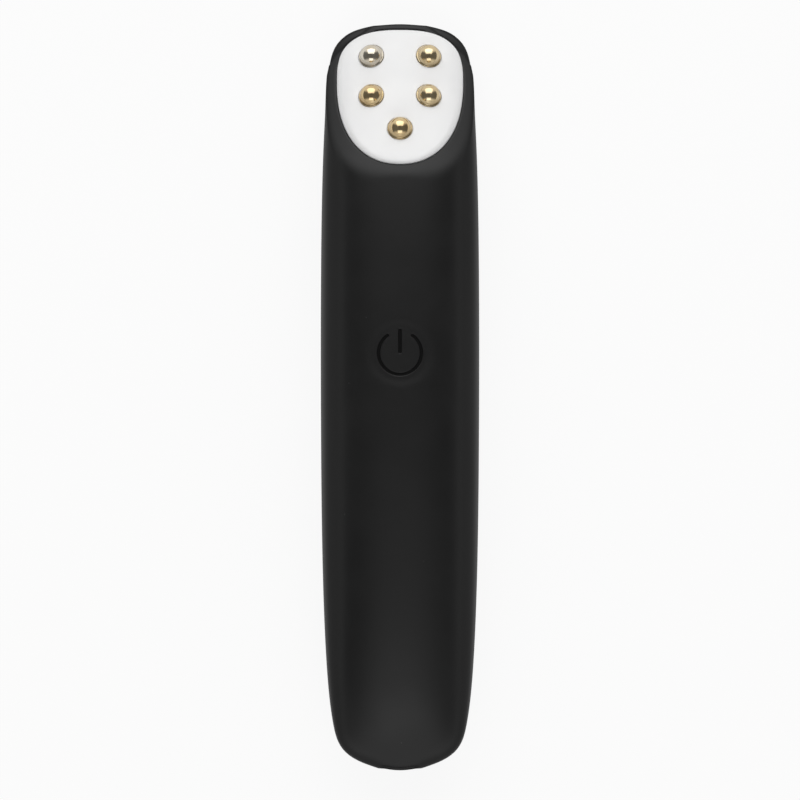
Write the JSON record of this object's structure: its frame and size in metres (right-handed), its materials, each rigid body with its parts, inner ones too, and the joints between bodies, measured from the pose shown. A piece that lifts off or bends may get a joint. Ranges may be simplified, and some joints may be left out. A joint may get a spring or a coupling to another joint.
{
  "type": "heated eye massager wand",
  "caption": "Slim hand-held wand with a slanted white heated plate, small metal massage domes, a power key and a charging port in its tail.",
  "frame": {"origin": "middle of the length and width, on the flat of the back", "axes": "+X to the right across the wand seen from its front, +Y towards the slanted head, +Z out of the front face"},
  "size_m": [0.034, 0.16, 0.0259],
  "materials": {
    "skin_silicone": "matt soft-touch black silicone",
    "plate_white": "white, smooth gloss",
    "bead_gold": "polished gold plating",
    "shell_plastic": "moulded black plastic, fine spark texture",
    "switch_plastic": "black moulded plastic",
    "plunger_plastic": "natural white moulded plastic",
    "steel": "zinc-plated steel",
    "tinned_steel": "tinned sheet steel",
    "tungsten": "sintered tungsten alloy",
    "bronze": "oil-soaked sintered bronze",
    "spreader_aluminium": "rolled sheet",
    "film": "amber polyimide film",
    "board_green": "green solder mask over glass-epoxy",
    "chip_black": "moulded epoxy",
    "component_mix": "ceramic and epoxy components",
    "pouch_foil": "laminated foil pouch",
    "foam": "open-cell foam tape",
    "boot_rubber": "moulded rubber",
    "winding": "enamelled copper windings",
    "lead_red": "insulated wire",
    "lead_white": "insulated wire",
    "connector_white": "natural nylon",
    "glass_bead": "glass-coated sensor"
  },
  "bodies": {
    "wand": {"silicone_sleeve": "skin_silicone", "key_membrane": "skin_silicone", "front_housing": "shell_plastic", "back_housing": "shell_plastic", "housing_screws": "steel", "treatment_plate": "plate_white", "massage_bead_top_left": "bead_gold", "massage_bead_top_right": "bead_gold", "massage_bead_middle_left": "bead_gold", "massage_bead_middle_right": "bead_gold", "massage_bead_bottom": "bead_gold", "bead_retaining_rings": "steel", "heat_spreader": "spreader_aluminium", "heater_film": "film", "thermistor": "glass_bead", "main_board": "board_green", "board_screws": "steel", "tact_switch_base": "switch_plastic", "controller_chip": "chip_black", "board_components": "component_mix", "micro_usb_socket": "tinned_steel", "usb_contact_tongue": "switch_plastic", "battery_pouch": "pouch_foil", "battery_foam_pad": "foam", "battery_connector": "connector_white", "battery_leads": "lead_red", "motor_can": "tinned_steel", "motor_end_cap": "plunger_plastic", "motor_bush": "bronze", "motor_boot": "boot_rubber", "motor_leads": "lead_red", "heater_leads": "lead_white"},
    "power_key": {"power_key_pad": "skin_silicone", "key_actuator": "switch_plastic"},
    "switch_plunger": {"tact_switch_plunger": "plunger_plastic"},
    "motor_rotor": {"motor_shaft": "steel", "motor_armature": "winding", "eccentric_weight": "tungsten"}
  },
  "joints": [
    {"name": "key_press", "type": "slide", "parent": "wand", "child": "power_key", "axis": [0, 0, -1], "range_m": [0, 0.00035], "stiffness_N_per_m": 4500, "deforming": ["key_membrane"]},
    {"name": "plunger_press", "type": "slide", "parent": "wand", "child": "switch_plunger", "axis": [0, 0, -1], "range_m": [0, 0.00035]},
    {"name": "motor_spin", "type": "hinge", "parent": "wand", "child": "motor_rotor", "pos_m": [0, 0.028, 0.0075], "axis": [0, 1, 0], "continuous": true}
  ],
  "couplings": [
    {"joint": "plunger_press", "follows": "key_press", "ratio": 1}
  ]
}
